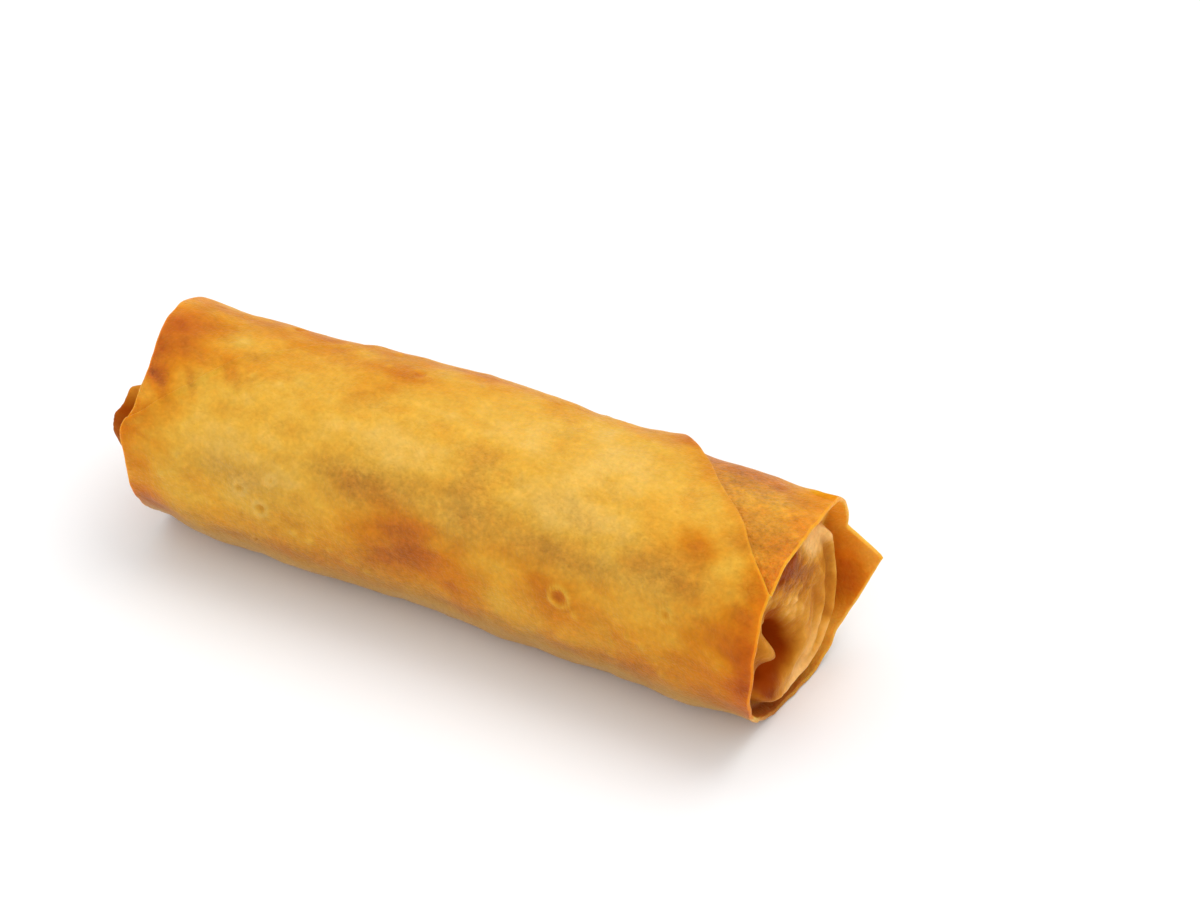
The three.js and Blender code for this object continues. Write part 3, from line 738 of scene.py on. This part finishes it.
# Painted glow of light through the thin sheet
thinWall = bellsRound(crust["thinWall"], angleOf) + crust["thinEar"] * rise(fromMiddle, *zones["earThin"])
thinEdge = crust["thinCutEdge"] * bell(edgeAway, crust["cutEdgeWidth"]) * rise(alongX, *zones["cutEdgeX"])
thin = byPart(0, thinWall, crust["thinLip"] * (1 - underside), thinEdge * (1 - underside))

faceCrisp = crust["crispFace"] + patches(crust["crispTop"], acrossY, upZ)
faceCrisp = faceCrisp - crust["crispLostInShadedFolds"] * shadedFold
skinCrisp = (crust["crispSkin"] + crust["crispFilling"] * np.clip(filling, 0, 1) * (1 - underside)
             + crust["crispInnerTurn"] * innerTurn)
crisp = byPart(faceCrisp, crust["crispRim"], crust["crispRim"], skinCrisp)

lightOutside = crust["lightSkin"] + crust["lightNearRim"] * rise(fromMiddle, *zones["nearRim"])
letsLight = byPart(crust["lightFace"], lightOutside, lightOutside, lightOutside)

at, wide, lost = crust["dryRim"]
faceShine = crust["shineFace"] * (1 - crease) + patches(crust["shineOnFolds"], acrossY, upZ)
skinShine = (crust["shineSkin"] + crust["shineInnerTurn"] * innerTurn
             + bellsRound(crust["shineRound"], angleOf) - lost * bell(alongX - at, wide))
shine = byPart(faceShine, crust["shineRim"], crust["shineRim"], skinShine)

# Quads between the rings, and a fan on the middle of each face
ringCount = len(rings)
row, column = np.meshgrid(np.arange(ringCount - 1), np.arange(columnCount), indexing="ij")
here = (row * columnCount + column).ravel()
beside = (row * columnCount + (column + 1) % columnCount).ravel()
quads = np.stack([here, beside, beside + columnCount, here + columnCount], -1)
spoke = np.arange(columnCount)
nextSpoke = (spoke + 1) % columnCount
last = (ringCount - 1) * columnCount
leftFan = np.stack([np.full(columnCount, len(points) - 2), nextSpoke, spoke], -1)
rightFan = np.stack([np.full(columnCount, len(points) - 1), last + spoke, last + nextSpoke], -1)

# Laid over the CAD solid: same middle in x and y, same table
low, high = points.min(0), points.max(0)
points[:, 0] += (cadLow.x + cadHigh.x) / 2 / mm - (low[0] + high[0]) / 2
points[:, 1] += (cadLow.y + cadHigh.y) / 2 / mm - (low[1] + high[1]) / 2

mesh = bpy.data.meshes.new("springRollSkin")
mesh.from_pydata((points * mm).tolist(), [], quads.tolist() + leftFan.tolist() + rightFan.tolist())
mesh.update()
mesh.shade_smooth()
crustLayers = {"toast": toast, "innerSkin": innerSkin, "filling": filling, "crease": crease,
               "thin": thin, "crisp": crisp, "letsLight": letsLight, "shine": shine}
for name, values in crustLayers.items():
    mesh.attributes.new(name, "FLOAT", "POINT").data.foreach_set("value", np.clip(values, 0, 1))
skin = bpy.data.objects.new("springRollSkin", mesh)
bpy.context.scene.collection.objects.link(skin)
print("skin mesh", len(mesh.polygons), "faces")


def linear(hexColour):  # sRGB hex to linear
    values = [int(hexColour[i:i + 2], 16) / 255 for i in (1, 3, 5)]
    return [v / 12.92 if v <= 0.04045 else ((v + 0.055) / 1.055) ** 2.4 for v in values] + [1]


def addNode(tree, kind, settings=None, links=None):  # both go by socket, or by the node's own names
    node = tree.nodes.new(kind)
    for name, value in (settings or {}).items():
        if name == "stops":
            ramp = node.color_ramp.elements
            while len(ramp) < len(value):
                ramp.new(1)
            for stop, (position, colour) in zip(ramp, value):
                stop.position, stop.color = position, linear(colour)
        elif isinstance(name, int) or name in node.inputs:
            node.inputs[name].default_value = value
        else:
            setattr(node, name, value)
    for name, source in (links or {}).items():
        tree.links.new(source, node.inputs[name])
    return node


def newMaterial(name):
    material = bpy.data.materials.new(name)
    material.use_nodes = True
    material.node_tree.nodes.clear()
    return material, material.node_tree


# Wheat-flour pastry, deep fried: a thin crisp sheet, brown where it lay deepest in the oil, with a painted
# glow where it is thin enough for light to shine through and painted shade in its creases, hollows and
# underside. Oil left on it gives a soft satin shine, and its fine bubbles break that up.
pastry = {
    "skinStops": [(0.0, "#ddb052"), (0.2, "#d9a53a"), (0.4, "#d59528"), (0.6, "#cb7d12"),
                  (0.8, "#c06912"), (1.0, "#ad520a")],
    "innerStops": [(0.0, "#f6ba6c"), (0.3, "#dc9838"), (0.5, "#c87f24"), (0.7, "#b2681c"),
                   (0.85, "#985014"), (1.0, "#7e3408")],
    # grey-brown of the filling seen through the skin, also used as painted shade on the underside, in fine
    # creases and low inside the rims
    "filling": "#8a5634", "fillingShare": 0.55,
    # dark red-brown painted as shade in the creases, hollows and rims
    "crease": "#893003", "creaseShare": 1.0,
    # bright orange painted as the glow of light through thin sheet
    "thin": "#f0a62a", "thinShare": 0.6,
    "mottle": [(9.0, 0.3), (3.2, 0.13), (1.2, 0.1)],  # mm across, change of toast
    "uneven": [(6.0, 0.16), (1.8, 0.24), (0.7, 0.34)],  # mm across, change of brightness where crispest
    "streak": 1.3,  # the mottle is so many times longer along the roll
    "bubble": 0.95, "bubbleHeight": 0.1,  # mm
    "grain": 0.4, "grainHeight": 0.2,  # the real grain is nearer 0.1 mm, drawn as coarse as it needs to show
    "roughness": (0.34, 0.56),
    "ior": 1.45,  # frying oil
    "shineTint": "#ffd494",
    "bleed": 2.0, "bleedByColour": (1.0, 0.45, 0.2),  # mm that light spreads in the sheet, red furthest
}

friedPastry, tree = newMaterial("friedWheatPastry")
mixA, mixB, mixed = 6, 7, 2  # a Mix node's colour sockets, in and out
onPastry = addNode(tree, "ShaderNodeTexCoord").outputs["Object"]
drawnOut = addNode(tree, "ShaderNodeMapping", {"Scale": (1 / pastry["streak"], 1, 1)},
                   {"Vector": onPastry}).outputs[0]
layer = {name: addNode(tree, "ShaderNodeAttribute", {"attribute_name": name}).outputs["Fac"]
         for name in crustLayers}

brownness = layer["toast"]
for size, change in pastry["mottle"]:
    noise = addNode(tree, "ShaderNodeTexNoise", {"Scale": 1 / (size * mm), "Detail": 2.0},
                    {"Vector": drawnOut})
    mottle = addNode(tree, "ShaderNodeMapRange", {"To Min": -change, "To Max": change},
                     {"Value": noise.outputs["Fac"]})
    brownness = addNode(tree, "ShaderNodeMath", {"operation": "ADD"},
                        {0: brownness, 1: mottle.outputs[0]}).outputs[0]
skinColour = addNode(tree, "ShaderNodeValToRGB", {"stops": pastry["skinStops"]}, {"Fac": brownness})
innerColour = addNode(tree, "ShaderNodeValToRGB", {"stops": pastry["innerStops"]}, {"Fac": brownness})
skinOrInner = {0: layer["innerSkin"], mixA: skinColour.outputs[0], mixB: innerColour.outputs[0]}
colour = addNode(tree, "ShaderNodeMix", {"data_type": "RGBA"}, skinOrInner).outputs[mixed]
# Mixed in: the filling with painted shade, painted shade in the creases, and a painted glow through thin
# sheet
for name in ("filling", "crease", "thin"):
    amount = addNode(tree, "ShaderNodeMath", {"operation": "MULTIPLY", 1: pastry[name + "Share"]},
                     {0: layer[name]})
    colour = addNode(tree, "ShaderNodeMix", {"data_type": "RGBA", mixB: linear(pastry[name])},
                     {0: amount.outputs[0], mixA: colour}).outputs[mixed]

for size, change in pastry["uneven"]:
    noise = addNode(tree, "ShaderNodeTexNoise", {"Scale": 1 / (size * mm), "Detail": 1.0},
                    {"Vector": onPastry})
    uneven = addNode(tree, "ShaderNodeMapRange", {"To Min": -change, "To Max": change},
                     {"Value": noise.outputs["Fac"]})
    factor = addNode(tree, "ShaderNodeMath", {"operation": "MULTIPLY_ADD", 2: 1.0},
                     {0: uneven.outputs[0], 1: layer["crisp"]})
    colour = addNode(tree, "ShaderNodeVectorMath", {"operation": "SCALE"},
                     {0: colour, "Scale": factor.outputs[0]}).outputs[0]

grain = addNode(tree, "ShaderNodeTexNoise", {"Scale": 1 / (pastry["grain"] * mm), "Detail": 2.0},
                {"Vector": onPastry})
bubbles = addNode(tree, "ShaderNodeTexVoronoi", {"Scale": 1 / (pastry["bubble"] * mm), "feature": "F1"},
                  {"Vector": onPastry})
domes = addNode(tree, "ShaderNodeMath", {"operation": "POWER", 1: 2}, {0: bubbles.outputs["Distance"]})
domes = addNode(tree, "ShaderNodeMath", {"operation": "MULTIPLY", 1: -2 * pastry["bubbleHeight"]},
                {0: domes.outputs[0]})
height = addNode(tree, "ShaderNodeMath", {"operation": "MULTIPLY_ADD", 1: 2 * pastry["grainHeight"]},
                 {0: grain.outputs["Fac"], 2: domes.outputs[0]})
height = addNode(tree, "ShaderNodeMath", {"operation": "MULTIPLY"}, {0: height.outputs[0], 1: layer["crisp"]})
bump = addNode(tree, "ShaderNodeBump", {"Strength": 1.0, "Distance": mm}, {"Height": height.outputs[0]})
smoothest, roughest = pastry["roughness"]
satin = addNode(tree, "ShaderNodeMapRange", {"To Min": smoothest, "To Max": roughest},
                {"Value": grain.outputs["Fac"]})
surface = addNode(tree, "ShaderNodeBsdfPrincipled",
                  {"IOR": pastry["ior"], "Specular Tint": linear(pastry["shineTint"]),
                   "Subsurface Radius": pastry["bleedByColour"], "Subsurface Scale": pastry["bleed"] * mm},
                  {"Base Color": colour, "Roughness": satin.outputs[0], "Normal": bump.outputs[0],
                   "Subsurface Weight": layer["letsLight"], "Specular IOR Level": layer["shine"]})
addNode(tree, "ShaderNodeOutputMaterial", links={"Surface": surface.outputs[0]})
mesh.materials.append(friedPastry)
print("pastry material", len(tree.nodes), "nodes")

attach(skin, "root")
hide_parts("spring_roll")

# A tabletop rolled with matt white emulsion: it scatters light evenly, so the eye sees a soft contact
# shadow and no reflection.
table = {"reach": 3.0, "colour": "#f3f3f3", "roughness": 0.8}  # metres from the middle to a side
half = table["reach"]
tableMesh = bpy.data.meshes.new("table")
tableMesh.from_pydata([(-half, -half, 0), (half, -half, 0), (half, half, 0), (-half, half, 0)], [],
                      [(0, 1, 2, 3)])
tableTop = bpy.data.objects.new("table", tableMesh)
bpy.context.scene.collection.objects.link(tableTop)
whitePaint, tree = newMaterial("rolledMattWhitePaint")
surface = addNode(tree, "ShaderNodeBsdfPrincipled",
                  {"Base Color": linear(table["colour"]), "Roughness": table["roughness"]})
addNode(tree, "ShaderNodeOutputMaterial", links={"Surface": surface.outputs[0]})
tableMesh.materials.append(whitePaint)
print("table top", 2 * half, "m square")

# A soft sky, brightest overhead, and two softboxes
studio = {
    "sky": [(0.0, "#d2d4d7"), (1.0, "#ffffff")],  # at the horizon and overhead
    "strength": 1.03,
    "softboxes": {  # azimuth, elevation, distance in metres, size in metres, watts
        "keySoftbox": (150, 68, 0.9, 0.6, 3.1),
        "fillSoftbox": (-10, 30, 1.2, 0.9, 2.1),
    },
}
world = bpy.data.worlds.new("studio")
bpy.context.scene.world = world
world.use_nodes = True
tree = world.node_tree
tree.nodes.clear()
towards = addNode(tree, "ShaderNodeTexCoord").outputs["Generated"]
upward = addNode(tree, "ShaderNodeSeparateXYZ", links={0: towards}).outputs["Z"]
sky = addNode(tree, "ShaderNodeValToRGB", {"stops": studio["sky"]}, {"Fac": upward})
dome = addNode(tree, "ShaderNodeBackground", {"Strength": studio["strength"]}, {"Color": sky.outputs[0]})
addNode(tree, "ShaderNodeOutputWorld", links={"Surface": dome.outputs[0]})


def onSphere(azimuth, elevation, distance):  # azimuth 0 looks along +Y, 90 along -X
    a, e = math.radians(azimuth), math.radians(elevation)
    return Vector((math.sin(a) * math.cos(e), -math.cos(a) * math.cos(e), math.sin(e))) * distance


for name, (azimuth, elevation, distance, size, watts) in studio["softboxes"].items():
    light = bpy.data.lights.new(name, "AREA")
    light.energy, light.size = watts, size
    lamp = bpy.data.objects.new(name, light)
    bpy.context.scene.collection.objects.link(lamp)
    lamp.location = onSphere(azimuth, elevation, distance)
    lamp.rotation_euler = (-lamp.location).to_track_quat("-Z", "Y").to_euler()
print("lights: the sky and", len(studio["softboxes"]), "softboxes")

# Azimuth and elevation in degrees, distance in metres, lens and sensor in mm, target in mm
view = {"azimuth": 26.87, "elevation": 39.52, "distance": 0.6399, "lens": 125, "sensor": 36,
        "target": (0, 36.2, 0)}
camera = bpy.data.cameras.new("camera")
camera.lens, camera.sensor_width = view["lens"], view["sensor"]
cameraObject = bpy.data.objects.new("camera", camera)
bpy.context.scene.collection.objects.link(cameraObject)
target = Vector(view["target"]) * mm
cameraObject.location = target + onSphere(view["azimuth"], view["elevation"], view["distance"])
cameraObject.rotation_euler = (target - cameraObject.location).to_track_quat("-Z", "Y").to_euler()
bpy.context.scene.camera = cameraObject
bpy.context.scene.view_settings.view_transform = "Standard"
print("camera", view["distance"], "m from what it looks at")
